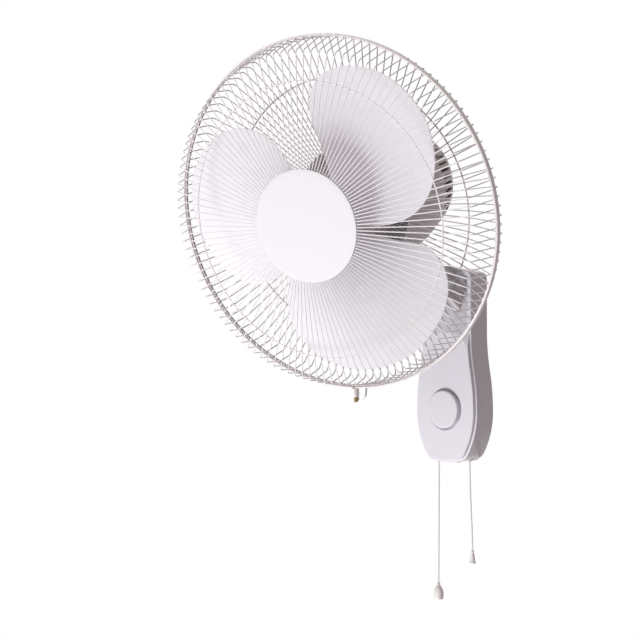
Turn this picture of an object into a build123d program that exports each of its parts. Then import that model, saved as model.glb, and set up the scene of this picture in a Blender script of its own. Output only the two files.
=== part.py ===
"""Wall mounted fan with a tilting, swinging head and two pull cords.

Millimetres. The origin lies on the wall face at the middle of the wall plate: +X to the right of
someone facing the wall, +Y into the wall, +Z up. The head is drawn as it hangs at rest, nose down
and turned a little to the right.
"""

import os
from math import atan2, cos, radians, sin, tan

from build123d import *

os.makedirs("parts", exist_ok=True)

# Fits
running = 0.05  # radial clearance of a bore round a turning or sliding pin
seat_gap = 0.3  # between faces of parts that move past each other
weld_gap = 0.05  # between a guard wire and the ring that it is welded to

# Wall plate and its screw holes
plate_width = 64.0
plate_height = 100.0
plate_thickness = 2.0
plate_corner = 4.0
wall_hole_radius = 2.5
wall_hole_across = 40.0
wall_hole_up = 80.0

# Housing outline, seen from the front
upper_half = 39.3
base_half = 49.3
shoulder_z = 119.5
crown_z = 129.0
waist_top_z = 45.0
waist_bottom_z = -63.0
foot_half = 29.6
foot_z = -124.7
base_z = -128.8
crown_corner = 10.0
foot_corner = 16.0
proud = 1.8  # the front cover's rim stands this much outside the rear cover
wall = 2.5  # thickness of every moulded wall
back_wall = 4.8
cover_depth = 36.5  # from the wall to the recessed front
cover_edge = 1.0
split_depth = 33.8  # where the two covers meet, upper half
split_low_depth = 34.8  # and low down, just before the split turns to the wall
split_low_z = -101.0
split_drop = 38.0  # further down where it passes the wall
split_blend = 25.0
split_bend = 150.0
split_over = 20.0  # how far the cutting solid reaches past the housing

# Raised front pad, with the round hole for the cap
pad_height = 4.5
pad_inset = 1.0
pad_arch_radius = 47.5
pad_arch_z = -5.0
pad_edge = 1.2
scoop_fall = 0.36  # the face round the arch falls back by this for each millimetre
scoop_reach = 150.0
scoop_wall = 1.5
cap_hole_radius = 27.7
cap_radius = 25.0
cap_z = -60.0
cap_height = 9.5
cap_edge = 1.8

# Screws that join the two covers
cover_boss_radius = 4.0
cover_screw_radius = 1.5
cover_head_radius = 3.2
cover_head_depth = 2.0
cover_screw_length = 16.0
cover_screw_recess = 0.3
cover_screw_low = (33.0, -104.4)
cover_screw_high = (30.5, 56.0)

# Electrical pieces inside the housing
switch_size = (20.0, 32.0, 24.0)  # across, up, out from the back wall
block_corner = 2.0
switch_z = -84.0
block_size = (30.0, 10.0, 12.0)
block_z = -36.0
capacitor_size = (38.0, 26.0, 20.0)
capacitor_z = 22.0

# Pull cords
cord_radius = 1.0
plunger_radius = 1.4
plunger_length = 48.0
bush_radius = 4.0
bush_length = 11.0
pull_out = 20.0  # from the wall to the cords
speed_x = -27.0
swing_x = 25.5
speed_exit_z = -129.8
swing_exit_z = -128.3
speed_route = ((-27, -20, -130.8), (-27, -20, -144), (-28, -20, -284), (-28, -20, -297))
swing_route = (
    (25.5, -20, -129.3),
    (25.5, -20, -143),
    (27.4, -20, -190),
    (30.0, -20, -236),
    (30.0, -20, -249.5),
)
speed_bell_radius = 6.8
speed_bell_height = 19.0
swing_bell_radius = 4.5
swing_bell_height = 14.0
gland_radius = 5.0
gland_bore = 3.2
gland_out = 14.0
gland_end_z = -131.8
gland_length = 12.0
exit_hole = 25.0  # length of the holes for the bushes and the gland
exit_hole_below = 5.0

# Tilt joint
tilt = 16.0  # nose down at rest, degrees
tilt_out = 50.0  # from the wall to the tilt bolt
tilt_z = 105.0
ear_gap = 22.0
ear_thickness = 6.0
ear_radius = 18.0
ear_foot_z = 56.0
slot_gap = 0.6  # round the ears where they pass the front cover
slot_bottom_z = 69.0
slot_top_z = 104.5
bracket_plate = 3.0
bracket_width = 51.0
bracket_bottom_z = 52.0
bracket_top_z = 96.0
bracket_screw_radius = 1.6
bracket_screw_grip = 4.0  # into the back wall
bracket_screw_across = 43.0
bracket_screw_up = 28.0
knuckle_radius = 15.0
arm_width = 20.0
arm_edge = 2.5
bolt_radius = 4.0
bolt_head_radius = 8.0
bolt_head_height = 5.0
bolt_tail = 2.0  # beyond the nut

# Neck and swivel
neck_reach = 87.5  # forward of the tilt bolt, along the neck's own level
neck_rise = 139.5  # from the tilt bolt up to the fan's axis
pan = 11.5  # turned to the right at rest, degrees
boss_clearance = 4.0  # between the motor cover and the top of the neck
boss_radius = 20.0
boss_height = 26.0
arm_end_radius = 13.0
post_radius = 8.0
post_top = -47.0  # heights here are measured from the fan's axis
socket_radius = 10.8
socket_bottom = -59.7
socket_top = -40.0
gear_bottom = -66.0
gear_thickness = 6.0
sector_radius = 24.0
pinion_radius = 8.0
pinion_shaft_radius = 3.0
gearmotor_radius = 20.0
gearmotor_height = 18.0
gearmotor_foot = 6.0
gearmotor_foot_width = 16.0

# Motor; depths along the fan's axis are measured from the plane of the hoop, forward positive
head_reach = 115.0  # from the swivel forward to the hoop
motor_face = -48.0
face_thickness = 4.0
cover_radius = 78.0
boss_drop = cover_radius + boss_clearance  # from the fan's axis down to the top of the neck
cover_drum = 88.0
tail_depth = -200.0
tail_radius = 70.0
tail_rise = 8.0
tail_round = 20.0
drum_outer = 46.0
drum_wall = 3.0
drum_length = 62.0
bridge_thickness = 12.0
boss_front = -34.0
collar_radius = 28.0
shaft_radius = 5.0
shaft_front = 56.0
shaft_back = -130.0
bearing_radius = 13.0
bearing_width = 8.0
rotor_radius = 26.0
air_gap = 0.5
stack_front = -62.0
stack_length = 38.0
winding_length = 8.0
motor_screw_radius = 1.5
motor_screw_circle = cover_radius - 9.0
motor_screw_length = 14.0
motor_boss_radius = 6.0

# Guard, hoop and medallion
hoop_radius = 220.5
hoop_thickness = 2.2
hoop_width = 8.4
hoop_corner = 1.0
hoop_shift = 0.3  # forward of the hoop's plane
hoop_split = 2.5
hoop_split_angle = -94.5
wire_radius = 0.7
wire_count = 120
front_phase = 2.0
rear_phase = 2.1
rim_ring_wire = 0.7
rim_ring_h = 1.6
rim_radius = (  # centre line of the wires where they meet the hoop
    hoop_radius - hoop_thickness - 2 * rim_ring_wire - wire_radius - weld_gap
)
front_start = 64.0
front_start_h = 68.4
front_corner = rim_radius - 10.4
front_corner_h = 38.8
front_bend = 5.0
front_end_h = 0.95
front_ring = 170.0
front_ring_wire = 0.9
rear_start = 46.0
rear_start_h = -45.25
rear_ring = 165.0
rear_ring_h = -39.2
rear_ring_wire = 0.9
rear_corner = rim_radius - 2.1
rear_corner_h = -23.0
rear_bend = 6.0
rear_dish_bend = 150.0
guard_plate_radius = 54.0
guard_plate = 1.5
nut_radius = 44.0
nut_height = 8.0
nut_grips = 8
nut_gap = 0.2  # in front of the guard's wires
nut_grip_radius = 3.0
clip_reach = 17.0
clip_half = 15.0
clip_thickness = 5.0
clip_post_radius = 3.4
clip_post_reach = 11.0
clip_screw_radius = 2.4
clip_screw_end = 18.0
medallion_radius = 69.0
medallion_edge = 1.1
medallion_crown = 1.8
medallion_boss = 8.0
clamp_radius = 66.0
clamp_thickness = 2.4

# Impeller
hub_radius = 39.0
hub_back = -8.0
hub_front = 47.0
hub_wall = 3.0
hub_boss_radius = 11.0
blade_count = 3
blade_phase = 48.3
blade_middle_h = 18.7
blade_rise = -25.5  # along the axis for each radian round it
blade_camber = -7.5  # and for each radian squared
blade_thickness = 2.0
blade_early = 52.0  # the blade's screw surface runs from here, degrees before its middle
blade_late = 62.0
blade_bars = 9  # radial bars that the surface is drawn through
blade_reach = 205.0
blade_lobe = (  # outline seen along the axis: degrees from the middle, and radius
    (33.5, 44),
    (41, 65),
    (44.7, 92),
    (47, 118),
    (44.9, 141),
    (37.3, 167),
    (22, 186.5),
    (2, 195.5),
    (-18, 188.3),
    (-33, 170.8),
    (-43, 151.5),
    (-52, 123),
    (-57, 92),
    (-58.5, 44),
)
blade_root = 37.0
hub_boss_back = -18.0
hub_edge = 6.0
spinner_radius = 16.0
spinner_height = 11.0
pin_radius = 2.0
pin_length = 20.0

# Planes
ROOM = Plane.XZ  # the wall face seen from the room: x to the right, y up, pointing into the room
tilt_point = Vector(0, -tilt_out, tilt_z)
NECK = Plane(
    origin=tilt_point, x_dir=(1, 0, 0), z_dir=(0, -sin(radians(tilt)), cos(radians(tilt)))
)
swivel_point = NECK.from_local_coords(Vector(0, -neck_reach, neck_rise))
facing = NECK.x_dir * sin(radians(pan)) - NECK.y_dir * cos(radians(pan))
HEAD = Plane(
    origin=swivel_point + facing * head_reach,
    x_dir=NECK.z_dir.cross(facing),
    z_dir=facing,
)
SECTION = Plane(origin=HEAD.origin, x_dir=HEAD.x_dir, z_dir=-HEAD.y_dir)  # radius, then depth
SWIVEL = Plane(origin=swivel_point, x_dir=HEAD.x_dir, z_dir=NECK.z_dir)  # turns with the head
fan_axis = Axis(HEAD.origin, HEAD.z_dir)
swivel_axis = Axis(swivel_point, NECK.z_dir)


def disc(plane, radius, depth, bore=0.0):
    """Adds a round plate that stands out of the plane by depth, with a bore if one is given."""
    with BuildSketch(plane) as plate:
        Circle(radius)
        if bore:
            Circle(bore, mode=Mode.SUBTRACT)
    extrude(to_extrude=plate.sketch, amount=depth)


def ring(radius, height, wire):
    """Adds a round wire ring about the fan's axis."""
    with BuildSketch(SECTION) as section:
        with Locations((radius, height)):
            Circle(wire)
    revolve(profiles=section.sketch, axis=fan_axis)


def sagitta_radius(half, rise):
    """Radius of an arc from its half width and its rise."""
    return (half**2 + rise**2) / (2 * rise)


def moved_corner(corner, one, other, grow):
    """A corner moved so that both of its sides, given by their normals, shift by grow."""
    return corner + (one + other) * (grow / (1 + one.dot(other)))


def housing_outline(grow=0.0):
    """Front view of the housing: straight upper sides, an S-curve and a wider, rounded base.

    The line is drawn grow millimetres outside the nominal one.
    """
    middle_half = (upper_half + base_half) / 2
    middle_z = (waist_top_z + waist_bottom_z) / 2
    lean = 2 * atan2(middle_half - upper_half, waist_top_z - middle_z)
    crown_radius = sagitta_radius(upper_half, crown_z - shoulder_z)
    crown_normal = Vector(upper_half, shoulder_z - crown_z + crown_radius).normalized()
    shoulder = Vector(upper_half, shoulder_z)
    shoulder = moved_corner(shoulder, Vector(1, 0), crown_normal, grow)
    foot = Vector(foot_half, foot_z)
    hip_radius = sagitta_radius(waist_bottom_z - foot_z, base_half - foot_half)
    hip_normal = (foot - Vector(base_half - hip_radius, waist_bottom_z)).normalized()
    base_radius = sagitta_radius(foot_half, foot_z - base_z)
    base_normal = (foot - Vector(0, base_z + base_radius)).normalized()
    foot = moved_corner(foot, hip_normal, base_normal, grow)
    with BuildSketch() as outline:
        with BuildLine():
            for side in (1, -1):
                waist = (side * (upper_half + grow), waist_top_z)
                middle = (
                    side * (middle_half + grow * cos(lean)),
                    middle_z + grow * sin(lean),
                )
                hip = (side * (base_half + grow), waist_bottom_z)
                Line((side * shoulder.X, shoulder.Y), waist)
                bend = TangentArc(waist, middle, tangent=(0, -1))
                TangentArc(middle, hip, tangent=bend % 1)
                TangentArc(hip, (side * foot.X, foot.Y), tangent=(0, -1))
            for corner, top in ((shoulder, crown_z + grow), (foot, base_z - grow)):
                ThreePointArc((-corner.X, corner.Y), (0, top), (corner.X, corner.Y))
        make_face()
        fillet(outline.vertices().group_by(Axis.Y)[0], foot_corner + grow)
        fillet(outline.vertices().group_by(Axis.Y)[-1], crown_corner + grow)
    return outline.sketch


def scoop(deeper, grow):
    """The space over the face that falls back round the pad's arch, inside the grown outline.

    The face is a cone about the middle of the arch, drawn deeper millimetres further in.
    """
    pad_front = cover_depth + pad_height - deeper
    floor = pad_front - scoop_fall * (scoop_reach - pad_arch_radius)
    with BuildPart() as space:
        with BuildSketch(Plane(origin=(0, 0, pad_arch_z))):
            with BuildLine():
                Polyline(
                    (pad_arch_radius, -pad_front),
                    (pad_arch_radius, -2 * cover_depth),
                    (scoop_reach, -2 * cover_depth),
                    (scoop_reach, -floor),
                    close=True,
                )
            make_face()
        revolve(axis=Axis((0, 0, pad_arch_z), (0, -1, 0)), revolution_arc=180)
        with BuildSketch(ROOM):
            add(housing_outline(grow))
        extrude(amount=2 * cover_depth, mode=Mode.INTERSECT)
    return space.part


def inside_bend(before, corner, after, bend, clearance):
    """The point inside a rounded corner of a wire that is clear of its centre line."""
    here = Vector(*corner)
    back = (Vector(*before) - here).normalized()
    on = (Vector(*after) - here).normalized()
    half = radians(back.get_angle(on) / 2)
    return here + (back + on).normalized() * (bend / sin(half) - bend + clearance)


def wire(profile, bends, radius):
    """Adds one guard wire along a profile of (radius, depth) points, about the Z axis."""
    with BuildLine(Plane.XZ) as path:
        FilletPolyline(*profile, radius=bends)
    with BuildSketch(Plane(origin=path.line @ 0, z_dir=path.line % 0)) as section:
        Circle(radius)
    sweep(sections=section.sketch, path=path.line)


def rim_ring(corner, corner_h):
    """Radius of the ring between the hoop and the ends of a guard's wires, clear of their sides."""
    lean = Vector(rim_radius - corner, corner_h - front_end_h).get_angle(Vector(0, 1))
    outward = wire_radius + weld_gap + rim_ring_wire
    outward -= (rim_ring_h - front_end_h) * sin(radians(lean))
    return rim_radius + outward / cos(radians(lean))


def cord(route):
    """Adds a cord along its route and prints the radius of each of its bends."""
    points = [Vector(*p) for p in route]
    bends = []
    for before, here, after in zip(points, points[1:], points[2:]):
        turn = (here - before).get_angle(after - here)
        run = min((here - before).length, (after - here).length)
        bends.append(0.45 * run / tan(radians(turn / 2)))
    with BuildLine() as path:
        FilletPolyline(*points, radius=bends)
    with BuildSketch(Plane(origin=path.line @ 0, z_dir=path.line % 0)) as section:
        Circle(cord_radius)
    sweep(sections=section.sketch, path=path.line)
    print("cord bends", [round(b) for b in bends], "length", round(path.wires()[0].length, 1))


def save(part, name):
    """Labels a finished piece and writes it."""
    part.label = name
    export_step(part, f"parts/{name}.step")


# ---------------------------------------------------------------- wall plate and housing

with BuildPart() as wall_plate:
    with BuildSketch(ROOM):
        RectangleRounded(plate_width, plate_height, plate_corner)
        with GridLocations(wall_hole_across, wall_hole_up, 2, 2):
            Circle(wall_hole_radius, mode=Mode.SUBTRACT)
    extrude(amount=plate_thickness)
save(wall_plate.part, "wall_plate")

cover_screw_points = [
    (side * x, z) for x, z in (cover_screw_low, cover_screw_high) for side in (-1, 1)
]

bracket_screw_points = [
    (x * bracket_screw_across / 2, (bracket_bottom_z + bracket_top_z + z * bracket_screw_up) / 2)
    for x in (-1, 1)
    for z in (-1, 1)
]

with BuildPart() as front_zone:
    # the space in front of the split between the two covers
    with BuildSketch(Plane.YZ):
        with BuildLine():
            split = FilletPolyline(
                (-split_depth, crown_z + split_over),
                (-split_depth, 0),
                (-split_low_depth, split_low_z),
                (split_over / 2, split_low_z - split_drop),
                radius=[split_bend, split_blend],
            )
            Polyline(
                split @ 1,
                (split_over / 2, base_z - split_over),
                (-cover_depth - split_over, base_z - split_over),
                (-cover_depth - split_over, crown_z + split_over),
                split @ 0,
            )
        make_face()
    extrude(amount=base_half + split_over, both=True)

with BuildPart() as rear_housing:
    with BuildSketch(ROOM):
        add(housing_outline())
    extrude(amount=cover_depth)
    with BuildSketch(ROOM.offset(back_wall)):
        add(housing_outline(-wall))
    extrude(amount=cover_depth, mode=Mode.SUBTRACT)
    add(front_zone.part, mode=Mode.SUBTRACT)
    with BuildSketch(ROOM):
        RectangleRounded(plate_width, plate_height, plate_corner)
    extrude(amount=plate_thickness, mode=Mode.SUBTRACT)
    with BuildSketch(ROOM):
        with GridLocations(wall_hole_across, wall_hole_up, 2, 2):
            Circle(wall_hole_radius * 2)
    extrude(amount=back_wall, mode=Mode.SUBTRACT)
    with BuildSketch(ROOM):
        with Locations(*cover_screw_points):
            Circle(cover_head_radius)
    extrude(amount=cover_head_depth, mode=Mode.SUBTRACT)
    with BuildSketch(ROOM):
        with Locations(*cover_screw_points):
            Circle(cover_screw_radius)
    extrude(amount=back_wall, mode=Mode.SUBTRACT)
    with BuildSketch(ROOM.offset(back_wall)):
        with Locations(*bracket_screw_points):
            Circle(bracket_screw_radius)
    extrude(amount=-bracket_screw_grip, mode=Mode.SUBTRACT)
save(rear_housing.part, "rear_housing")

ear_half = ear_gap / 2 + ear_thickness

with BuildPart() as front_housing:
    with BuildSketch(ROOM):
        add(housing_outline(proud))
    extrude(amount=cover_depth)
    fillet(faces().sort_by(Axis.Y)[0].edges(), cover_edge)
    with BuildSketch(ROOM.offset(back_wall)):
        add(housing_outline(-wall))
    extrude(amount=cover_depth - wall - back_wall, mode=Mode.SUBTRACT)
    add(front_zone.part, mode=Mode.INTERSECT)
    with BuildSketch(ROOM.offset(back_wall)):
        with Locations(*cover_screw_points):
            Circle(cover_boss_radius)
    extrude(amount=cover_depth - wall - back_wall)
    with BuildSketch(ROOM.offset(back_wall)):
        with Locations(*cover_screw_points):
            Circle(cover_screw_radius)
    extrude(amount=cover_screw_length, mode=Mode.SUBTRACT)
    with BuildPart(mode=Mode.PRIVATE) as liner:
        add(scoop(wall, -wall - seat_gap))
        with BuildSketch(ROOM.offset(cover_depth)):
            Rectangle(4 * base_half, 4 * crown_z)
        extrude(amount=2 * cover_depth, mode=Mode.SUBTRACT)
    add(liner.part)
    add(scoop(0, -wall - seat_gap - scoop_wall), mode=Mode.SUBTRACT)
    for side in (-1, 1):
        with BuildSketch(ROOM.offset(cover_depth / 3)):
            with Locations((side * (ear_gap + ear_thickness) / 2, (slot_bottom_z + slot_top_z) / 2)):
                Rectangle(ear_thickness + 2 * slot_gap, slot_top_z - slot_bottom_z)
        extrude(amount=cover_depth, mode=Mode.SUBTRACT)
    for x, z, radius, out in (
        (speed_x, speed_exit_z, bush_radius, pull_out),
        (swing_x, swing_exit_z, bush_radius, pull_out),
        (0, gland_end_z, gland_radius, gland_out),
    ):
        with BuildSketch(Plane(origin=(x, -out, z - exit_hole_below))):
            Circle(radius)
        extrude(amount=exit_hole, mode=Mode.SUBTRACT)
save(front_housing.part, "front_housing")

with BuildPart() as front_pad:
    with BuildSketch(ROOM.offset(cover_depth)):
        add(housing_outline(-pad_inset))
        with BuildSketch(mode=Mode.PRIVATE) as arch:
            with Locations((0, pad_arch_z)):
                Circle(pad_arch_radius + pad_height / scoop_fall)
            with Locations((0, pad_arch_z)):
                Rectangle(3 * base_half, 3 * base_half, align=(Align.CENTER, Align.MAX))
        add(arch.sketch, mode=Mode.INTERSECT)
        with Locations((0, cap_z)):
            Circle(cap_hole_radius, mode=Mode.SUBTRACT)
    extrude(amount=pad_height)
    fillet(faces().sort_by(Axis.Y)[0].edges(), pad_edge)
    add(scoop(0, 0), mode=Mode.SUBTRACT)
save(front_pad.part, "front_pad")

with BuildPart() as round_cap:
    with BuildSketch(ROOM.offset(cover_depth)):
        with Locations((0, cap_z)):
            Circle(cap_radius)
    extrude(amount=cap_height)
    fillet(faces().sort_by(Axis.Y)[0].edges(), cap_edge)
save(round_cap.part, "round_cap")

with BuildPart() as cover_screws:
    with BuildSketch(ROOM.offset(cover_screw_recess)):
        with Locations(*cover_screw_points):
            Circle(cover_head_radius)
    extrude(amount=cover_head_depth - cover_screw_recess)
    with BuildSketch(ROOM.offset(cover_head_depth)):
        with Locations(*cover_screw_points):
            Circle(cover_screw_radius)
    extrude(amount=cover_screw_length)
save(cover_screws.part, "cover_screws")

for name, size, z in (
    ("terminal_block", block_size, block_z),
    ("capacitor", capacitor_size, capacitor_z),
):
    with BuildPart() as block:
        with BuildSketch(ROOM.offset(back_wall)):
            with Locations((0, z)):
                RectangleRounded(size[0], size[1], block_corner)
        extrude(amount=size[2])
    save(block.part, name)

# ---------------------------------------------------------------- pull switches and cords

for name, x, exit_z in (("speed", speed_x, speed_exit_z), ("swing", swing_x, swing_exit_z)):
    with BuildPart() as switch:
        with BuildSketch(ROOM.offset(back_wall)):
            with Locations((x, switch_z)):
                Rectangle(switch_size[0], switch_size[1])
        extrude(amount=switch_size[2])
        with BuildSketch(Plane(origin=(x, -pull_out, switch_z - switch_size[1]))):
            Circle(plunger_radius + running)
        extrude(amount=switch_size[1] * 1.4, mode=Mode.SUBTRACT)
    save(switch.part, f"{name}_switch")

    with BuildPart() as bush:
        disc(
            Plane(origin=(x, -pull_out, exit_z)),
            bush_radius,
            bush_length,
            bore=plunger_radius + running,
        )
        chamfer(edges().sort_by(Axis.Z)[0], 0.4)
    save(bush.part, f"{name}_cord_bush")

    with BuildPart() as plunger:
        disc(Plane(origin=(x, -pull_out, exit_z - 1)), plunger_radius, plunger_length)
    save(plunger.part, f"{name}_plunger")

with BuildPart() as mains_gland:
    disc(
        Plane(origin=(0, -gland_out, gland_end_z)),
        gland_radius,
        gland_length,
        bore=gland_bore,
    )
save(mains_gland.part, "mains_gland")

for name, route in (("speed", speed_route), ("swing", swing_route)):
    with BuildPart() as pull_cord:
        cord(route)
    save(pull_cord.part, f"{name}_cord")

with BuildPart() as speed_bell:
    top = Vector(*speed_route[-1])
    with BuildSketch(Plane(origin=top, x_dir=(1, 0, 0), z_dir=(0, -1, 0))):
        with BuildLine():
            Line((0, 0), (2.2, 0))
            Spline(
                (2.2, 0),
                (speed_bell_radius - 1.2, -speed_bell_height * 0.3),
                (speed_bell_radius, -speed_bell_height * 0.72),
                (speed_bell_radius - 0.9, -speed_bell_height),
            )
            Polyline((speed_bell_radius - 0.9, -speed_bell_height), (0, -speed_bell_height), (0, 0))
        make_face()
    revolve(axis=Axis(top, (0, 0, 1)))
save(speed_bell.part, "speed_bell")

with BuildPart() as swing_bell:
    top = Vector(*swing_route[-1])
    with BuildSketch(Plane(origin=top, x_dir=(1, 0, 0), z_dir=(0, -1, 0))):
        with BuildLine():
            Line((0, 0), (1.9, 0))
            Spline(
                (1.9, 0),
                (swing_bell_radius - 1.6, -swing_bell_height * 0.35),
                (swing_bell_radius - 0.9, -swing_bell_height * 0.8),
            )
            Polyline(
                (swing_bell_radius - 0.9, -swing_bell_height * 0.8),
                (swing_bell_radius, -swing_bell_height * 0.86),
                (swing_bell_radius, -swing_bell_height),
                (0, -swing_bell_height),
                (0, 0),
            )
        make_face()
    revolve(axis=Axis(top, (0, 0, 1)))
save(swing_bell.part, "swing_bell")

# ---------------------------------------------------------------- tilt bracket, bolt and neck

with BuildPart() as tilt_bracket:
    with BuildSketch(ROOM.offset(back_wall)):
        with Locations((0, bracket_bottom_z)):
            Rectangle(
                bracket_width,
                bracket_top_z - bracket_bottom_z,
                align=(Align.CENTER, Align.MIN),
            )
        with Locations(*bracket_screw_points):
            Circle(bracket_screw_radius, mode=Mode.SUBTRACT)
    extrude(amount=bracket_plate)
    for side in (-1, 1):
        with BuildSketch(Plane.YZ.offset(side * ear_gap / 2)):
            with Locations((-tilt_out, tilt_z)):
                Circle(ear_radius)
            with BuildLine():
                Polyline(
                    (-back_wall, bracket_top_z),
                    (-tilt_out, tilt_z + ear_radius),
                    (-tilt_out - ear_radius, tilt_z),
                    (-tilt_out, tilt_z - ear_radius),
                    (-back_wall, ear_foot_z),
                    close=True,
                )
            make_face()
        extrude(amount=side * ear_thickness)
    with BuildSketch(Plane.YZ.offset(-ear_half)):
        with Locations((-tilt_out, tilt_z)):
            Circle(bolt_radius)
    extrude(amount=2 * ear_half, mode=Mode.SUBTRACT)
save(tilt_bracket.part, "tilt_bracket")

with BuildPart() as bracket_screws:
    with BuildSketch(ROOM.offset(back_wall + bracket_plate)):
        with Locations(*bracket_screw_points):
            Circle(bracket_screw_radius)
    extrude(amount=-bracket_plate - bracket_screw_grip)
    with BuildSketch(ROOM.offset(back_wall + bracket_plate)):
        with Locations(*bracket_screw_points):
            Circle(bracket_screw_radius * 1.9)
    extrude(amount=bracket_screw_radius)
save(bracket_screws.part, "bracket_screws")

BOLT = Plane(origin=tilt_point, x_dir=(0, 1, 0), z_dir=(1, 0, 0))  # along the tilt bolt

with BuildPart() as tilt_bolt:
    disc(
        BOLT.offset(-ear_half - bolt_head_height - bolt_tail),
        bolt_radius,
        2 * ear_half + bolt_head_height + bolt_tail,
    )
    with BuildSketch(BOLT.offset(ear_half)):
        RegularPolygon(bolt_head_radius, 6)
    extrude(amount=bolt_head_height)
    chamfer(faces().sort_by(Axis.X)[-1].edges(), 0.8)
save(tilt_bolt.part, "tilt_bolt")

with BuildPart() as tilt_nut:
    with BuildSketch(BOLT.offset(-ear_half - bolt_head_height)):
        RegularPolygon(bolt_head_radius, 6)
        Circle(bolt_radius, mode=Mode.SUBTRACT)
    extrude(amount=bolt_head_height)
save(tilt_nut.part, "tilt_nut")

BOSS = Plane(origin=swivel_point, x_dir=(1, 0, 0), z_dir=NECK.z_dir)  # square to the swivel
SIDE = Plane(origin=tilt_point, x_dir=NECK.y_dir, z_dir=NECK.x_dir)  # side view of the neck
boss_centre = (-neck_reach, neck_rise - boss_drop - arm_end_radius)

with BuildPart() as neck_arm:
    with BuildSketch(SIDE):
        Circle(knuckle_radius)
        with Locations(boss_centre):
            Circle(arm_end_radius)
        make_hull()
    extrude(amount=arm_width / 2, both=True)
    chamfer(faces().filter_by(Axis.X).edges(), arm_edge)
    with BuildSketch(SIDE):
        Circle(knuckle_radius)
    extrude(amount=ear_gap / 2 - seat_gap, both=True)
    disc(BOSS.offset(-boss_drop), boss_radius, -boss_height)
    fillet(edges().group_by(swivel_axis)[-1], 1.5)
    with BuildSketch(SIDE):
        Circle(bolt_radius + running)
    extrude(amount=ear_gap, both=True, mode=Mode.SUBTRACT)
    with BuildSketch(BOSS.offset(-boss_drop)):
        Circle(post_radius)
    extrude(amount=-boss_height * 1.2, mode=Mode.SUBTRACT)
save(neck_arm.part, "neck_arm")

with BuildPart() as swivel_post:
    disc(BOSS.offset(-boss_drop - boss_height), post_radius, boss_drop + boss_height + post_top)
    chamfer(edges().group_by(swivel_axis)[-1], 0.8)
save(swivel_post.part, "swivel_post")

with BuildPart() as swing_sector:
    disc(BOSS.offset(gear_bottom), sector_radius, gear_thickness, bore=post_radius)
save(swing_sector.part, "swing_sector")

# ---------------------------------------------------------------- motor

drum_front = motor_face - face_thickness
bridge_back = drum_front - drum_length - bridge_thickness

with BuildPart() as motor_frame:
    disc(HEAD.offset(drum_front), cover_radius, face_thickness)
    disc(HEAD.offset(motor_face), collar_radius, boss_front - motor_face)
    disc(HEAD.offset(drum_front), drum_outer, -drum_length, bore=drum_outer - drum_wall)
    with BuildSketch(HEAD.offset(drum_front - 1)):
        Circle(shaft_radius + 1)
    extrude(amount=boss_front - drum_front + 2, mode=Mode.SUBTRACT)
    with BuildSketch(HEAD.offset(boss_front)):
        Circle(bearing_radius)
    extrude(amount=-bearing_width, mode=Mode.SUBTRACT)
    with BuildSketch(HEAD.offset(drum_front)):
        with PolarLocations(motor_screw_circle, 4, start_angle=45):
            Circle(motor_screw_radius)
    extrude(amount=face_thickness, mode=Mode.SUBTRACT)
save(motor_frame.part, "motor_frame")

with BuildPart() as motor_bridge:
    disc(HEAD.offset(bridge_back), drum_outer, bridge_thickness, bore=shaft_radius + 1)
    with BuildSketch(HEAD.offset(bridge_back + bridge_thickness)):
        Circle(bearing_radius)
    extrude(amount=-bearing_width, mode=Mode.SUBTRACT)
save(motor_bridge.part, "motor_bridge")

with BuildPart() as front_bearing:
    disc(
        HEAD.offset(boss_front),
        bearing_radius,
        -bearing_width,
        bore=shaft_radius + running,
    )
save(front_bearing.part, "front_bearing")

with BuildPart() as rear_bearing:
    disc(
        HEAD.offset(bridge_back + bridge_thickness),
        bearing_radius,
        -bearing_width,
        bore=shaft_radius + running,
    )
save(rear_bearing.part, "rear_bearing")

with BuildPart() as stator:
    disc(
        HEAD.offset(stack_front),
        drum_outer - drum_wall,
        -stack_length,
        bore=rotor_radius + air_gap,
    )
save(stator.part, "stator")

with BuildPart() as windings:
    for plane, depth in (
        (HEAD.offset(stack_front), winding_length),
        (HEAD.offset(stack_front - stack_length), -winding_length),
    ):
        disc(plane, drum_outer - drum_wall - 3, depth, bore=rotor_radius + 3)
    fillet(edges().group_by(fan_axis)[-1], 2)
    fillet(edges().group_by(fan_axis)[0], 2)
save(windings.part, "windings")

with BuildPart() as cover_hollow:
    disc(HEAD.offset(drum_front), cover_radius - wall, -cover_drum)
    with BuildSketch(HEAD.offset(drum_front - cover_drum)):
        Circle(cover_radius - wall)
    with BuildSketch(HEAD.offset(tail_depth + wall)):
        with Locations((0, tail_rise)):
            Circle(tail_radius - wall)
    loft()
    fillet(edges().sort_by(fan_axis)[0], tail_round - wall)
    with BuildSketch(HEAD.offset(drum_front)):
        with PolarLocations(motor_screw_circle, 4, start_angle=45):
            Circle(motor_boss_radius)
    extrude(amount=-motor_screw_length - 2, mode=Mode.SUBTRACT)

with BuildPart() as motor_cover:
    disc(HEAD.offset(drum_front), cover_radius, -cover_drum)
    with BuildSketch(HEAD.offset(drum_front - cover_drum)):
        Circle(cover_radius)
    with BuildSketch(HEAD.offset(tail_depth)):
        with Locations((0, tail_rise)):
            Circle(tail_radius)
    loft()
    fillet(edges().sort_by(fan_axis)[0], tail_round)
    add(cover_hollow.part, mode=Mode.SUBTRACT)
    with BuildSketch(HEAD.offset(drum_front)):
        with PolarLocations(motor_screw_circle, 4, start_angle=45):
            Circle(motor_screw_radius)
    extrude(amount=-motor_screw_length, mode=Mode.SUBTRACT)
    with BuildSketch(SWIVEL.offset(-boss_drop)):
        Circle(post_radius + 2)
    extrude(amount=boss_drop / 4, mode=Mode.SUBTRACT)
save(motor_cover.part, "motor_cover")

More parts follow.
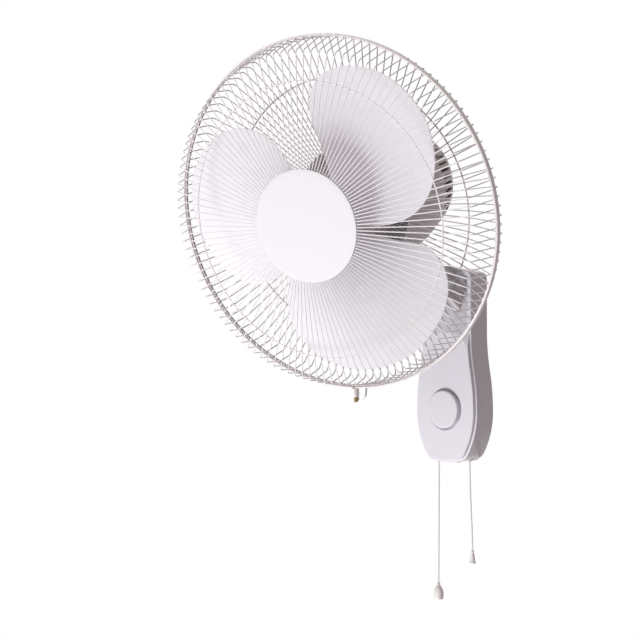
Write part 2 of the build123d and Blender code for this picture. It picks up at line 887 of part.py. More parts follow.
with BuildPart() as motor_screws:
    with BuildSketch(HEAD.offset(motor_face)):
        with PolarLocations(motor_screw_circle, 4, start_angle=45):
            Circle(motor_screw_radius * 2)
    extrude(amount=motor_screw_radius)
    with BuildSketch(HEAD.offset(motor_face)):
        with PolarLocations(motor_screw_circle, 4, start_angle=45):
            Circle(motor_screw_radius)
    extrude(amount=-face_thickness - motor_screw_length)
save(motor_screws.part, "motor_screws")

with BuildPart() as swivel_socket:
    disc(
        SWIVEL.offset(socket_bottom),
        socket_radius,
        socket_top - socket_bottom,
        bore=post_radius + running,
    )
    with BuildSketch(HEAD.offset(tail_depth)):
        Circle(drum_outer)
    extrude(amount=-tail_depth, mode=Mode.SUBTRACT)
save(swivel_socket.part, "swivel_socket")

pinion_back = sector_radius + pinion_radius + seat_gap  # behind the swivel
gearmotor_bottom = gear_bottom + gear_thickness + seat_gap

with BuildPart() as swing_pinion:
    with BuildSketch(SWIVEL.offset(gear_bottom)):
        with Locations((0, pinion_back)):
            Circle(pinion_radius)
    extrude(amount=gear_thickness)
    with BuildSketch(SWIVEL.offset(gear_bottom)):
        with Locations((0, pinion_back)):
            Circle(pinion_shaft_radius)
    extrude(amount=gear_thickness + gearmotor_height / 2)
save(swing_pinion.part, "swing_pinion")

with BuildPart() as swing_gearmotor:
    with BuildSketch(SWIVEL.offset(gearmotor_bottom)):
        with Locations((0, pinion_back)):
            Circle(gearmotor_radius)
    extrude(amount=gearmotor_height)
    with BuildSketch(SWIVEL.offset(gearmotor_bottom + gearmotor_height - gearmotor_foot)):
        with Locations((0, pinion_back)):
            Rectangle(
                gearmotor_foot_width,
                2 * gearmotor_radius,
                align=(Align.CENTER, Align.MAX),
            )
    extrude(amount=gearmotor_foot)
    with BuildSketch(HEAD.offset(bridge_back)):
        Circle(2 * cover_radius)
    extrude(amount=60, mode=Mode.SUBTRACT)
    with BuildSketch(SWIVEL.offset(gearmotor_bottom)):
        with Locations((0, pinion_back)):
            Circle(pinion_shaft_radius + running)
    extrude(amount=gearmotor_height / 2, mode=Mode.SUBTRACT)
save(swing_gearmotor.part, "swing_gearmotor")

# ---------------------------------------------------------------- rotor and impeller

pin_height = hub_back - 6

with BuildPart() as shaft:
    disc(HEAD.offset(shaft_back), shaft_radius, shaft_front - shaft_back)
    chamfer(edges().group_by(fan_axis)[-1], 0.6)
    with BuildSketch(Plane(origin=HEAD.origin + facing * pin_height, z_dir=HEAD.x_dir)):
        Circle(pin_radius)
    extrude(amount=pin_length, both=True, mode=Mode.SUBTRACT)
save(shaft.part, "shaft")

with BuildPart() as shaft_pin:
    with BuildSketch(Plane(origin=HEAD.origin + facing * pin_height, z_dir=HEAD.x_dir)):
        Circle(pin_radius)
    extrude(amount=pin_length / 2, both=True)
save(shaft_pin.part, "shaft_pin")

with BuildPart() as rotor_core:
    disc(HEAD.offset(stack_front), rotor_radius, -stack_length, bore=shaft_radius)
save(rotor_core.part, "rotor_core")

with BuildPart() as blade:
    # a screw surface with thickness, drawn through radial bars and cut to the blade's outline
    for k in range(blade_bars):
        turn = blade_early - k * (blade_early + blade_late) / (blade_bars - 1)
        outward = Vector(cos(radians(turn)), sin(radians(turn)))
        bar_start = outward * blade_root + Vector(0, 0, blade_middle_h)
        bar_start += Vector(0, 0, blade_rise * radians(turn) + blade_camber * radians(turn) ** 2)
        bar = Plane(origin=bar_start, x_dir=outward, z_dir=Vector(0, 0, 1).cross(outward))
        with BuildSketch(bar):
            Rectangle(
                blade_reach - blade_root,
                blade_thickness,
                align=(Align.MIN, Align.CENTER),
            )
    loft()
    with BuildSketch(Plane.XY.offset(hub_back - blade_reach)):
        rim = [Vector(r * cos(radians(a)), r * sin(radians(a))) for a, r in blade_lobe]
        with BuildLine():
            Spline(*rim)
            Polyline(rim[-1], (blade_root / 2, 0), rim[0])
        make_face()
    extrude(amount=2 * blade_reach, mode=Mode.INTERSECT)

with BuildPart(HEAD) as impeller:
    disc(HEAD.offset(hub_back), hub_radius, hub_front - hub_back)
    fillet(edges().group_by(fan_axis)[-1], hub_edge)
    with BuildSketch(HEAD.offset(hub_back)):
        Circle(hub_radius - hub_wall)
    extrude(amount=hub_front - hub_back - hub_wall, mode=Mode.SUBTRACT)
    disc(HEAD.offset(hub_boss_back), hub_boss_radius, hub_front - hub_boss_back)
    with PolarLocations(0, blade_count, start_angle=blade_phase):
        add(blade.part)
    with BuildSketch(HEAD.offset(hub_boss_back)):
        Circle(shaft_radius)
    extrude(amount=hub_front - hub_boss_back, mode=Mode.SUBTRACT)
    with BuildSketch(Plane(origin=HEAD.origin + facing * pin_height, z_dir=HEAD.x_dir)):
        Circle(pin_radius)
    extrude(amount=pin_length, both=True, mode=Mode.SUBTRACT)
save(impeller.part, "impeller")

with BuildPart() as blade_nut:
    disc(HEAD.offset(hub_front), spinner_radius, spinner_height)
    fillet(edges().group_by(fan_axis)[-1], 3)
    with BuildSketch(HEAD.offset(hub_front)):
        Circle(shaft_radius)
    extrude(amount=shaft_front - hub_front, mode=Mode.SUBTRACT)
save(blade_nut.part, "blade_nut")

# ---------------------------------------------------------------- guard

front_points = (
    (front_start, front_start_h),
    (front_corner, front_corner_h),
    (rim_radius, front_end_h),
)
rear_points = (
    (rear_start, rear_start_h),
    (rear_ring, rear_ring_h),
    (rear_corner, rear_corner_h),
    (rim_radius, -front_end_h),
)
front_slope = (front_corner_h - front_start_h) / (front_corner - front_start)

with BuildPart() as front_wire:
    wire(front_points, [front_bend], wire_radius)

with BuildPart(HEAD) as front_guard_wires:
    with PolarLocations(0, wire_count, start_angle=front_phase):
        add(front_wire.part)
save(front_guard_wires.part, "front_guard_wires")

with BuildPart() as rear_wire:
    wire(rear_points, [rear_dish_bend, rear_bend], wire_radius)

with BuildPart(HEAD) as rear_guard_wires:
    with PolarLocations(0, wire_count, start_angle=rear_phase):
        add(rear_wire.part)
save(rear_guard_wires.part, "rear_guard_wires")

clear = wire_radius + weld_gap

with BuildPart() as front_guard_rings:
    at = front_start_h + front_slope * (front_ring - front_start)
    below = (clear + front_ring_wire) * (1 + front_slope**2) ** 0.5
    ring(front_ring, at - below, front_ring_wire)
    ring(rim_ring(front_corner, front_corner_h), rim_ring_h, rim_ring_wire)
save(front_guard_rings.part, "front_guard_rings")

with BuildPart() as rear_guard_rings:
    seat = inside_bend(*rear_points[:3], rear_dish_bend, clear + rear_ring_wire)
    ring(seat.X, seat.Y, rear_ring_wire)
    ring(rim_ring(rear_corner, -rear_corner_h), -rim_ring_h, rim_ring_wire)
save(rear_guard_rings.part, "rear_guard_rings")

plate_front = rear_start_h - wire_radius - weld_gap

with BuildPart() as guard_plate_ring:
    disc(
        HEAD.offset(plate_front),
        guard_plate_radius,
        -guard_plate,
        bore=collar_radius,
    )
save(guard_plate_ring.part, "guard_plate")

with BuildPart() as guard_nut:
    disc(
        HEAD.offset(rear_start_h + wire_radius + nut_gap),
        nut_radius,
        nut_height,
        bore=collar_radius,
    )
    with BuildSketch(HEAD.offset(rear_start_h)):
        with PolarLocations(nut_radius, nut_grips):
            Circle(nut_grip_radius)
    extrude(amount=nut_height * 2, mode=Mode.SUBTRACT)
save(guard_nut.part, "guard_nut")

with BuildPart() as hoop:
    with BuildSketch(SECTION):
        with Locations((hoop_radius - hoop_thickness / 2, hoop_shift)):
            RectangleRounded(hoop_thickness, hoop_width, hoop_corner)
    revolve(axis=fan_axis)
    CLIP = Plane(
        origin=HEAD.origin,
        x_dir=HEAD.x_dir * cos(radians(hoop_split_angle))
        + HEAD.y_dir * sin(radians(hoop_split_angle)),
        z_dir=HEAD.z_dir,
    )
    with BuildSketch(CLIP.offset(-hoop_width)):
        with Locations((hoop_radius, 0)):
            Rectangle(6 * hoop_thickness, hoop_split)
    extrude(amount=2 * hoop_width, mode=Mode.SUBTRACT)
save(hoop.part, "hoop")

clip_face = -hoop_width / 2 + clip_thickness
post_h = clip_face + clip_post_radius - 1.0
RADIAL = Plane(origin=CLIP.origin + HEAD.z_dir * post_h, x_dir=HEAD.z_dir, z_dir=CLIP.x_dir)

with BuildPart() as hoop_clip:
    with BuildSketch(CLIP.offset(-hoop_width / 2)):
        with BuildLine():
            FilletPolyline(
                (hoop_radius - 1, clip_half),
                (hoop_radius + clip_reach * 0.7, clip_half * 0.8),
                (hoop_radius + clip_reach, clip_half * 0.4),
                (hoop_radius + clip_reach, -clip_half * 0.4),
                (hoop_radius + clip_reach * 0.7, -clip_half * 0.8),
                (hoop_radius - 1, -clip_half),
                radius=3,
            )
            Line((hoop_radius - 1, -clip_half), (hoop_radius - 1, clip_half))
        make_face()
    extrude(amount=clip_thickness)
    disc(RADIAL.offset(hoop_radius - 1), clip_post_radius, clip_post_reach + 1)
    with BuildSketch(CLIP.offset(-hoop_width)):
        Circle(hoop_radius)
    extrude(amount=2 * hoop_width, mode=Mode.SUBTRACT)
    with BuildSketch(RADIAL.offset(hoop_radius + 1)):
        Circle(clip_screw_radius)
    extrude(amount=2 * clip_reach, mode=Mode.SUBTRACT)
save(hoop_clip.part, "hoop_clip")

with BuildPart() as clip_screw:
    disc(RADIAL.offset(hoop_radius + 1), clip_screw_radius, clip_screw_end - 1)
    chamfer(edges().sort_by(Axis(HEAD.origin, CLIP.x_dir))[-1], 0.6)
save(clip_screw.part, "clip_screw")

wire_top = front_start_h + wire_radius * 1.03 + 2 * weld_gap
edge_back = wire_top + front_slope * (medallion_radius - front_start)
clamp_front = front_start_h + front_slope * (clamp_radius - front_start) - wire_radius * 1.03
clamp_front -= weld_gap

crown_h = edge_back + medallion_edge + medallion_crown

with BuildPart() as medallion:
    with BuildSketch(SECTION):
        with BuildLine():
            TangentArc(
                (0, crown_h),
                (medallion_radius, edge_back + medallion_edge),
                tangent=(1, 0),
            )
            Polyline(
                (medallion_radius, edge_back + medallion_edge),
                (medallion_radius, edge_back),
                (front_start, wire_top),
                (medallion_boss, wire_top),
                (medallion_boss, clamp_front),
                (0, clamp_front),
                (0, crown_h),
            )
        make_face()
    revolve(axis=fan_axis)
save(medallion.part, "medallion")

with BuildPart() as medallion_clamp:
    disc(HEAD.offset(clamp_front), clamp_radius, -clamp_thickness)
save(medallion_clamp.part, "medallion_clamp")

print("tilt pivot", tuple(round(v, 3) for v in tilt_point))
print("swivel pivot", tuple(round(v, 3) for v in swivel_point))
print("swivel axis", tuple(round(v, 5) for v in NECK.z_dir))
print("hoop centre", tuple(round(v, 3) for v in HEAD.origin))
print("fan axis", tuple(round(v, 5) for v in facing))
pinion_point = swivel_point - facing * pinion_back
print("pinion axis", tuple(round(v, 3) for v in pinion_point))
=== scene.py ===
# %% [markdown]
# # A wall mounted fan
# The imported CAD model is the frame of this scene. Its solids already have the right shape and
# place, in metres: x to the right of someone who faces the wall, y into the wall, z up. Blender
# adds what a solid can't say, such as moulded plastic, enamelled wire, thread and light.

# %% Load the frame
from math import cos, pi, radians, sin

import bpy
from mathutils import Matrix, Vector


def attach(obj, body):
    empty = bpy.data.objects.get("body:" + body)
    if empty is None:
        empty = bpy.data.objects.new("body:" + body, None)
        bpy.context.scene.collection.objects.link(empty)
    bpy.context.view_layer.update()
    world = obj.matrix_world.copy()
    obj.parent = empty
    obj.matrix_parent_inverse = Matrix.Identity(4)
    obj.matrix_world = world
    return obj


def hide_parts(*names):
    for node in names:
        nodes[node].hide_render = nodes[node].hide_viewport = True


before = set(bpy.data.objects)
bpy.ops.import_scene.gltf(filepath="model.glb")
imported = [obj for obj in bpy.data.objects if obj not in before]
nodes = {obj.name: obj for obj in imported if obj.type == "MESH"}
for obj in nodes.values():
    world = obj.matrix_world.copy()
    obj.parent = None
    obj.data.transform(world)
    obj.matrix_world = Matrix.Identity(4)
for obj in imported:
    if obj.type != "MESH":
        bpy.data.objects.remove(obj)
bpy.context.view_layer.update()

# %% [markdown]
# ## Camera
# The photograph was taken with a long lens from the right, a little below the fan. A camera that
# was fitted to the hoop, the rings and the housing gives the place, the angles and the lens below.
# A long lens keeps the far side of the guard nearly as large as the near side.

# %% Camera
camera_data = bpy.data.cameras.new("Camera")
camera_data.sensor_width = 36.0
camera_data.lens = 98.603
camera_data.clip_start, camera_data.clip_end = 0.05, 40.0
camera = bpy.data.objects.new("Camera", camera_data)
bpy.context.scene.collection.objects.link(camera)
camera.location = (1.47947, -1.84934, 0.01406)
camera.rotation_euler = (radians(91.0957), 0.0, radians(43.351))
bpy.context.scene.camera = camera
bpy.context.scene.view_settings.view_transform = "Standard"
print("camera", round(camera.location.length, 2), "m from the wall plate")

# %% [markdown]
# ## Pull cords
# Each cord is a thin twisted thread that hangs from the housing with a small bell on its end. A
# thread under a light weight bends slowly, so a NURBS curve through a few listed points is right:
# it has no corners, and its points are easy to move.

# %% Pull cords
cord_thickness = 0.002
cord_routes = {
    "speed": [
        (-0.027, -0.020, -0.1308),
        (-0.027, -0.020, -0.144),
        (-0.028, -0.020, -0.284),
        (-0.028, -0.020, -0.297),
    ],
    "swing": [
        (0.0255, -0.020, -0.1293),
        (0.0255, -0.020, -0.143),
        (0.0274, -0.020, -0.190),
        (0.0300, -0.020, -0.236),
        (0.0300, -0.020, -0.2495),
    ],
}
cord_pieces = {}
for name, route in cord_routes.items():
    curve = bpy.data.curves.new(name + "_pull_cord", "CURVE")
    curve.dimensions = "3D"
    curve.bevel_depth = 1.0  # times the radius of each point
    curve.bevel_resolution = 3
    curve.resolution_u = 16
    curve.use_fill_caps = True
    line = curve.splines.new("NURBS")
    line.points.add(len(route) - 1)
    for point, place in zip(line.points, route):
        point.co = (*place, 1.0)
        point.radius = cord_thickness / 2
    line.order_u = 3
    line.use_endpoint_u = True
    piece = bpy.data.objects.new(name + "_pull_cord", curve)
    bpy.context.scene.collection.objects.link(piece)
    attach(piece, name + "_pull")
    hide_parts(name + "_cord")
    cord_pieces[name] = piece
    print(name, "cord hangs from", route[0], "to", route[-1])

# %% [markdown]
# ## Turned pieces
# A turned piece is one outline spun about an axis. The outline starts as a single vertex, which is
# extruded from point to point, and then the spin sweeps it round. The centre disc is turned again
# here because its very flat dome needs an even mesh: on the CAD triangles the light shows a star.
# A knot on each pull cord sits on top of its bell.


# %% Turned pieces
smooth_angle = radians(30)  # sharper edges stay sharp
same_place = 0.000001  # vertices nearer than this are one


def turned(name, outline, place, steps=96):
    """Spins an outline of (radius, height) in millimetres about the Z axis of a place."""
    bpy.ops.object.select_all(action="DESELECT")
    bpy.ops.mesh.primitive_plane_add(size=0.001)
    piece = bpy.context.active_object
    piece.name = name
    bpy.ops.object.mode_set(mode="EDIT")
    bpy.ops.mesh.select_all(action="SELECT")
    bpy.ops.mesh.merge(type="CENTER")
    corners = [Vector((radius, 0, height)) / 1000 for radius, height in outline]
    bpy.ops.transform.translate(value=corners[0])
    for before, after in zip(corners, corners[1:]):
        bpy.ops.mesh.extrude_region_move(TRANSFORM_OT_translate={"value": after - before})
    bpy.ops.mesh.select_all(action="SELECT")
    bpy.ops.mesh.spin(steps=steps, angle=2 * pi, center=(0, 0, 0), axis=(0, 0, 1))
    bpy.ops.mesh.select_all(action="SELECT")
    bpy.ops.mesh.remove_doubles(threshold=same_place)
    bpy.ops.mesh.normals_make_consistent(inside=False)
    bpy.ops.object.mode_set(mode="OBJECT")
    bpy.ops.object.shade_smooth_by_angle(angle=smooth_angle)
    piece.data.transform(place)
    print(name, "turned with", len(piece.data.polygons), "faces")
    return piece


facing = Vector((0.19937, -0.94196, -0.2701)).normalized()
across = Vector((0.97992, 0.19165, 0.05495)).normalized()
head_axes = Matrix((across, facing.cross(across), facing)).transposed().to_4x4()
head_place = Matrix.Translation((0.022927, -0.280888, 0.183916)) @ head_axes

disc_outline = [(0, 67.21), (8, 67.21), (8, 69.22), (64, 69.22), (69, 68.18), (69, 69.0)]
disc_outline += [(68.8, 69.2), (68.4, 69.31), (60, 69.72), (45, 70.31), (28, 70.78), (12, 71.03)]
disc_outline += [(0, 71.08)]
centre_disc = turned("centre_disc", disc_outline, head_place, steps=128)
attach(centre_disc, "head")
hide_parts("medallion")

knot_outline = [(1.0, -1.2), (1.9, -1.2), (2.3, -0.4), (2.2, 0.6), (1.6, 1.4), (1.0, 1.7)]
knots = {}
for name, place in (("speed", (-0.028, -0.020, -0.2955)), ("swing", (0.030, -0.020, -0.248))):
    knots[name] = turned(name + "_knot", knot_outline, Matrix.Translation(place), steps=24)
    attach(knots[name], name + "_pull")

# %% [markdown]
# ## Vented motor cover
# The tail of the motor cover has a dark band in the photograph. It is read here as a ring of
# cooling slots, though it may be shadow, and their number and size are made up. They are cut from
# a copy of the CAD piece. Its triangles don't share vertices, so they are merged before the
# boolean. The slots are short boxes with rounded edges, all in one cutting mesh.

# %% Vented motor cover
slot_count = 52
slot_size = (0.030, 0.0042, 0.027)  # outward, round the cover and along it
slot_place = (0.074, -0.166)  # out from the axis of the tail, and back from the hoop
slot_rise = 0.0035  # the tail is not quite in line with the shaft
slot_edge = 0.0015
slot_edge_steps = 3
cover_merge = 0.00001
cover_smooth = radians(35)

vented = bpy.data.objects.new("vented_motor_cover", nodes["motor_cover"].data.copy())
bpy.context.scene.collection.objects.link(vented)
bpy.ops.object.select_all(action="DESELECT")
bpy.context.view_layer.objects.active = vented
vented.select_set(True)
bpy.ops.mesh.customdata_custom_splitnormals_clear()
bpy.ops.object.mode_set(mode="EDIT")
bpy.ops.mesh.select_all(action="SELECT")
bpy.ops.mesh.remove_doubles(threshold=cover_merge)
bpy.ops.object.mode_set(mode="OBJECT")

bpy.ops.object.select_all(action="DESELECT")
bpy.ops.mesh.primitive_cube_add(size=1.0, location=(0, 0, 0))
cutter = bpy.context.active_object
bpy.ops.object.mode_set(mode="EDIT")
bpy.ops.mesh.delete(type="VERT")
for number in range(slot_count):
    turn = 2 * pi * (number + 0.5) / slot_count
    middle = (slot_place[0] * cos(turn), slot_place[0] * sin(turn) + slot_rise, slot_place[1])
    bpy.ops.mesh.primitive_cube_add(
        size=1.0, location=middle, rotation=(0, 0, turn), scale=slot_size
    )
bpy.ops.mesh.select_all(action="SELECT")
bpy.ops.mesh.bevel(offset=slot_edge, segments=slot_edge_steps, affect="EDGES")
bpy.ops.object.mode_set(mode="OBJECT")
cutter.data.transform(head_place)

cut = vented.modifiers.new("slots", "BOOLEAN")
cut.operation = "DIFFERENCE"
cut.solver = "EXACT"
cut.object = cutter
bpy.context.view_layer.objects.active = vented
bpy.ops.object.modifier_apply(modifier=cut.name)
bpy.data.objects.remove(cutter)
vented.select_set(True)
bpy.ops.object.shade_smooth_by_angle(angle=cover_smooth)
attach(vented, "head")
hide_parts("motor_cover")
print("vented cover with", slot_count, "slots and", len(vented.data.polygons), "faces")

# %% [markdown]
# ## Colours and nodes
# Colours are written as they look on a screen, in sRGB. Cycles works with linear light, so one
# function turns the hex value to linear. A second function adds a node with its settings and its
# links, and every material below is made with these two.


# %% Helpers for materials
standing_in = {"medallion": centre_disc, "motor_cover": vented}


def linear(code):
    """An sRGB hex colour as linear RGBA."""
    light = []
    for start in (1, 3, 5):
        part = int(code[start : start + 2], 16) / 255
        light.append(part / 12.92 if part <= 0.04045 else ((part + 0.055) / 1.055) ** 2.4)
    return (*light, 1.0)


def add_node(tree, kind, settings=None, links=None):
    """Adds a node. A setting is a property or an input's value, and a link feeds an input."""
    node = tree.nodes.new(kind)
    for name, value in (settings or {}).items():
        if hasattr(node, name):
            setattr(node, name, value)
        else:
            node.inputs[name].default_value = value
    for name, source in (links or {}).items():
        tree.links.new(source, node.inputs[name])
    return node


def new_finish(name, colour, roughness, metallic=0.0, ior=1.5):
    """A material with one Principled shader, and its node tree and shader to build on."""
    material = bpy.data.materials.new(name)
    material.use_nodes = True
    tree = material.node_tree
    shader = tree.nodes["Principled BSDF"]
    shader.inputs["Base Color"].default_value = linear(colour)
    shader.inputs["Roughness"].default_value = roughness
    shader.inputs["Metallic"].default_value = metallic
    shader.inputs["IOR"].default_value = ior
    material.diffuse_color = linear(colour)
    return material, tree, shader


def noise_in_place(tree, size, detail):
    """Noise with lumps of about size millimetres that stays on the piece."""
    place = add_node(tree, "ShaderNodeTexCoord")
    settings = {"Scale": 1000 / size, "Detail": detail}
    return add_node(tree, "ShaderNodeTexNoise", settings, {"Vector": place.outputs["Object"]})


def grain(tree, shader, size, depth):
    """A fine uneven surface, with bumps of about size and depth millimetres."""
    noise = noise_in_place(tree, size, 2.0)
    height = {"Height": noise.outputs["Fac"]}
    bump = add_node(tree, "ShaderNodeBump", {"Distance": depth / 1000}, height)
    tree.links.new(bump.outputs["Normal"], shader.inputs["Normal"])


def drift(tree, shader, size, first, second):
    """The colour wanders between two close tones over patches of size millimetres."""
    noise = noise_in_place(tree, size, 3.0)
    mix = add_node(tree, "ShaderNodeMix", {"data_type": "RGBA"})
    factor, low, high, blended = mix.inputs[0], mix.inputs[6], mix.inputs[7], mix.outputs[2]
    tree.links.new(noise.outputs["Fac"], factor)
    low.default_value = linear(first)
    high.default_value = linear(second)
    tree.links.new(blended, shader.inputs["Base Color"])


def paint(material, *names):
    """Gives CAD nodes, or the pieces that stand for them, a material."""
    for name in names:
        slots = standing_in.get(name, nodes.get(name)).data.materials
        slots.clear()
        slots.append(material)
    print(material.name, "on", ", ".join(names))


# %% [markdown]
# ## White mouldings
# The housing, the motor cover and the neck are taken to be injection moulded ABS in a cool white.
# A very fine grain, such as a spark eroded mould leaves, gives a soft sheen instead of a mirror.
# The colour drifts a little, as moulded plastic does. The motor cover and the neck are set greyer
# than the housing: that grey is painted shade on the same white plastic.

# %% Moulded ABS
housing_abs, tree, shader = new_finish("moulded ABS, cool white", "#E1E0E6", 0.5, ior=1.5)
drift(tree, shader, 60, "#DFDEE4", "#E3E2E8")
grain(tree, shader, 0.8, 0.012)
paint(housing_abs, "front_housing", "rear_housing", "front_pad", "round_cap")

# painted shade: the motor cover, neck and bracket grey darkens the same white plastic
painted_shade_abs, tree, shader = new_finish("moulded ABS, white with painted shade", "#C6C1C0", 0.5, ior=1.5)
drift(tree, shader, 60, "#C2BDBC", "#CAC5C4")
grain(tree, shader, 0.8, 0.012)
paint(painted_shade_abs, "motor_cover", "neck_arm", "tilt_bracket", "swivel_socket")

disc_abs, tree, shader = new_finish("satin ABS disc", "#E6E6EA", 0.55, ior=1.45)
grain(tree, shader, 2.0, 0.006)
paint(disc_abs, "medallion", "medallion_clamp")

bell_abs, tree, shader = new_finish("moulded ABS, bell white", "#E6E3E1", 0.35, ior=1.54)
grain(tree, shader, 0.8, 0.01)
paint(bell_abs, "speed_bell", "swing_bell", "speed_cord_bush", "swing_cord_bush", "mains_gland")

# %% [markdown]
# ## Blades
# The blades are moulded in milky polypropylene. Some light goes in and comes out again, which makes
# them look even and pale from both sides, and a thing close behind shows as a soft shadow.

# %% Milky polypropylene
blade_pp, tree, shader = new_finish("milky polypropylene", "#EBEAF1", 0.38, ior=1.49)
shader.inputs["Subsurface Weight"].default_value = 0.35
shader.inputs["Subsurface Radius"].default_value = (0.02, 0.019, 0.02)
shader.inputs["Subsurface Scale"].default_value = 1.0
grain(tree, shader, 3.0, 0.01)
paint(blade_pp, "impeller", "blade_nut")

# %% [markdown]
# ## Enamelled wire and hoop
# The guard is taken to be drawn steel wire, spot welded and coated with white enamel. The rear
# wires get a greyer white than the front ones. That grey is painted shade: on the real fan both
# are most likely the same enamel.

# %% Enamel on steel
front_enamel, tree, shader = new_finish("white enamel on front wire", "#EFEBED", 0.4, ior=1.5)
drift(tree, shader, 25, "#EBE7E9", "#F3EFF1")
grain(tree, shader, 1.5, 0.02)
paint(front_enamel, "front_guard_wires", "front_guard_rings")

# painted shade: the rear wire grey darkens the same white enamel as the front wires
rear_shaded_enamel, tree, shader = new_finish("white enamel on rear wire, painted shade", "#C9C3C3", 0.4, ior=1.5)
drift(tree, shader, 25, "#C5BFBF", "#CDC7C7")
grain(tree, shader, 1.5, 0.02)
paint(rear_shaded_enamel, "rear_guard_wires", "rear_guard_rings")

hoop_enamel, tree, shader = new_finish("white enamel on band", "#ECE8E7", 0.4, ior=1.5)
drift(tree, shader, 40, "#E8E4E3", "#F0ECEB")
grain(tree, shader, 2.5, 0.02)
paint(hoop_enamel, "hoop", "guard_plate", "guard_nut", "hoop_clip")

# %% [markdown]
# ## Metals and inner parts
# Screws and the tilt bolt are zinc plated steel, which is grey with a faint cloudy bloom. Without
# its cover the motor would show lacquered laminations and enamelled copper. All this is hidden in
# the photograph, so the finishes are the usual ones of such parts.

# %% Metals and inner parts
zinc, tree, shader = new_finish("zinc plated steel", "#A9A9AC", 0.35, metallic=1.0)
grain(tree, shader, 0.6, 0.01)
paint(
    zinc,
    "cover_screws",
    "bracket_screws",
    "tilt_bolt",
    "tilt_nut",
    "motor_screws",
    "shaft",
    "shaft_pin",
    "swivel_post",
    "wall_plate",
    "front_bearing",
    "rear_bearing",
)

brass, tree, shader = new_finish("dull brass", "#7A6A45", 0.4, metallic=1.0)
grain(tree, shader, 0.5, 0.01)
paint(brass, "clip_screw")

cast, tree, shader = new_finish("die cast aluminium", "#A5A5A6", 0.5, metallic=1.0)
grain(tree, shader, 1.2, 0.03)
paint(cast, "motor_frame", "motor_bridge", "swing_sector", "swing_pinion")

core, tree, shader = new_finish("lacquered laminations", "#46464A", 0.4)
grain(tree, shader, 0.5, 0.05)
paint(core, "stator", "rotor_core")

copper, tree, shader = new_finish("enamelled copper", "#B4733F", 0.3, metallic=1.0)
grain(tree, shader, 0.6, 0.1)
paint(copper, "windings")

grey_plastic, tree, shader = new_finish("grey nylon", "#8D8B8C", 0.5)
grain(tree, shader, 0.8, 0.02)
paint(
    grey_plastic,
    "terminal_block",
    "capacitor",
    "speed_switch",
    "swing_switch",
    "speed_plunger",
    "swing_plunger",
    "swing_gearmotor",
)

thread = new_finish("twisted cotton thread", "#E6E3DE", 0.9)[0]
for piece in [*cord_pieces.values(), *knots.values()]:
    piece.data.materials.append(thread)
print(thread.name, "on the pull cords")

# %% [markdown]
# ## Floor
# The photograph has a plain white background and shows no floor. A small one under the fan catches
# its shadow. It glows for the camera only, so that it stays white, and it casts no shadow itself,
# because the main light comes from under it.

# %% Floor
floor_size = 0.9
floor_place = (0.02, -0.2, -0.5)
floor_glow = 0.8

bpy.ops.object.select_all(action="DESELECT")
bpy.ops.mesh.primitive_plane_add(size=floor_size, location=floor_place)
floor = bpy.context.active_object
floor.name = "floor"
floor_paint, tree, shader = new_finish("pale floor", "#EDEDED", 0.9)
floor.visible_shadow = False
seen = add_node(tree, "ShaderNodeLightPath")
glow = add_node(tree, "ShaderNodeEmission", {"Strength": floor_glow})
lit = add_node(tree, "ShaderNodeAddShader")
tree.links.new(shader.outputs["BSDF"], lit.inputs[0])
tree.links.new(glow.outputs["Emission"], lit.inputs[1])
chosen = add_node(tree, "ShaderNodeMixShader", None, {"Fac": seen.outputs["Is Camera Ray"]})
tree.links.new(shader.outputs["BSDF"], chosen.inputs[1])
tree.links.new(lit.outputs[0], chosen.inputs[2])
tree.links.new(chosen.outputs[0], tree.nodes["Material Output"].inputs["Surface"])
floor.data.materials.append(floor_paint)
print("floor of", floor_size, "m at", floor_place)

# %% [markdown]
# ## World
# The camera, reflections and clear materials see a white world, which is the background. All other
# light from the world is the dim warm fill of a room, so the white adds no light to the fan.

# %% World
fill_colour = (0.235, 0.195, 0.197, 1.0)
background_white = (1.0, 1.0, 1.0, 1.0)

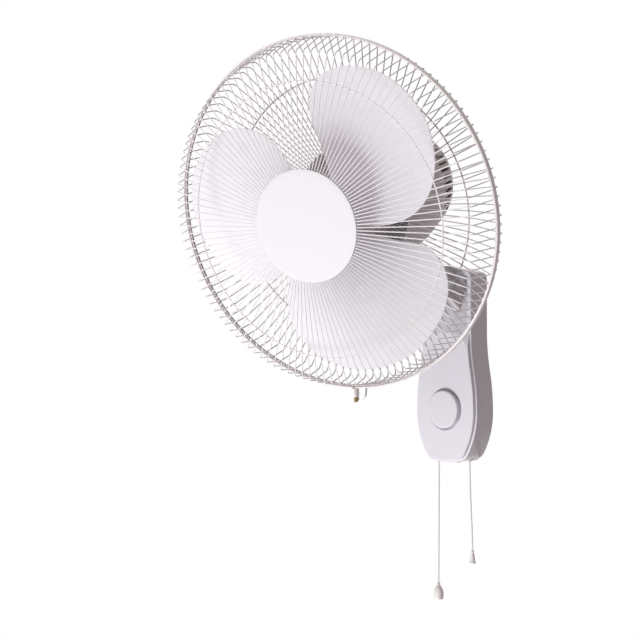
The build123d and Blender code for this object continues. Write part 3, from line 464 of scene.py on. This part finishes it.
world = bpy.data.worlds.new("room")
bpy.context.scene.world = world
world.use_nodes = True
tree = world.node_tree
fill = tree.nodes["Background"]
fill.inputs["Color"].default_value = fill_colour
fill.inputs["Strength"].default_value = 1.0
white = add_node(tree, "ShaderNodeBackground", {"Color": background_white})
seen = add_node(tree, "ShaderNodeLightPath")
mirror = add_node(tree, "ShaderNodeMath", {"operation": "MAXIMUM"})
tree.links.new(seen.outputs["Is Glossy Ray"], mirror.inputs[0])
tree.links.new(seen.outputs["Is Transmission Ray"], mirror.inputs[1])
either = add_node(tree, "ShaderNodeMath", {"operation": "MAXIMUM"})
tree.links.new(seen.outputs["Is Camera Ray"], either.inputs[0])
tree.links.new(mirror.outputs[0], either.inputs[1])
mix = add_node(tree, "ShaderNodeMixShader", None, {"Fac": either.outputs[0]})
tree.links.new(fill.outputs["Background"], mix.inputs[1])
tree.links.new(white.outputs["Background"], mix.inputs[2])
tree.links.new(mix.outputs[0], tree.nodes["World Output"].inputs["Surface"])
print("world fill", fill_colour[:3])

# %% [markdown]
# ## Lamps
# The shadow of the centre disc lies up and to the right on the blades, so the studio light stands
# low at the front left. A broad sun lamp does its work. The other two have no trace of their own in
# the photograph. The front one evens out the blades, and the back one lets the rear be seen. Their
# strengths were set by comparing tones of the render with those of the photograph.

# %% Lamps
# each lamp: the direction it shines from, its strength, its spread in degrees and its colour
lamps = {
    "key": ((-0.29, -0.88, -0.80), 2.45, 28, (0.97, 0.98, 1.0)),
    "front": ((0.12, -0.85, 0.35), 1.05, 60, (1.0, 0.97, 0.96)),
    "back": ((-0.45, 0.85, 0.30), 1.1, 40, (1.0, 0.98, 0.97)),
}
for name, (source, energy, spread, colour) in lamps.items():
    lamp_data = bpy.data.lights.new(name, "SUN")
    lamp_data.energy = energy
    lamp_data.angle = radians(spread)
    lamp_data.color = colour
    lamp = bpy.data.objects.new(name, lamp_data)
    bpy.context.scene.collection.objects.link(lamp)
    lamp.rotation_mode = "QUATERNION"
    lamp.rotation_quaternion = Vector(source).to_track_quat("Z", "Y")
    print(name, "sun from", source, "at", energy)
